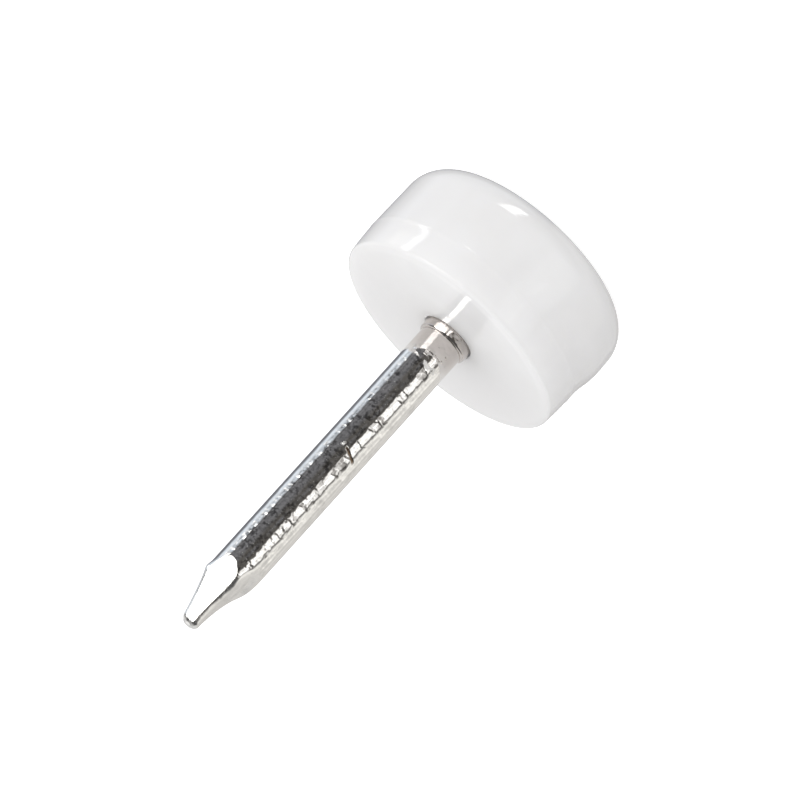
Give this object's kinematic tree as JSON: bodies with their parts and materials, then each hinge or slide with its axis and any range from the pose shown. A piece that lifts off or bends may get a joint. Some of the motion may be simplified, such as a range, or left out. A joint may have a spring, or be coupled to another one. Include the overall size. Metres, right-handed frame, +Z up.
{
  "type": "nail-on furniture glide",
  "caption": "Round glossy white plastic glide head with a slightly crowned sole and a bright plated steel nail moulded into it, to be driven into the end of a furniture leg.",
  "frame": {"origin": "bottom centre of the head, on the floor that it slides on", "axes": "+Z up along the nail, from the sole to the point; X and Y lie in the floor"},
  "size_m": [0.016, 0.016, 0.0329],
  "materials": {
    "head_plastic": "smooth glossy milky white, slightly translucent moulded plastic",
    "plated_steel": "bright plated steel with faint die and drawing marks along the shank"
  },
  "bodies": {
    "root": {"glide_head": "head_plastic", "nail": "plated_steel"}
  },
  "joints": []
}
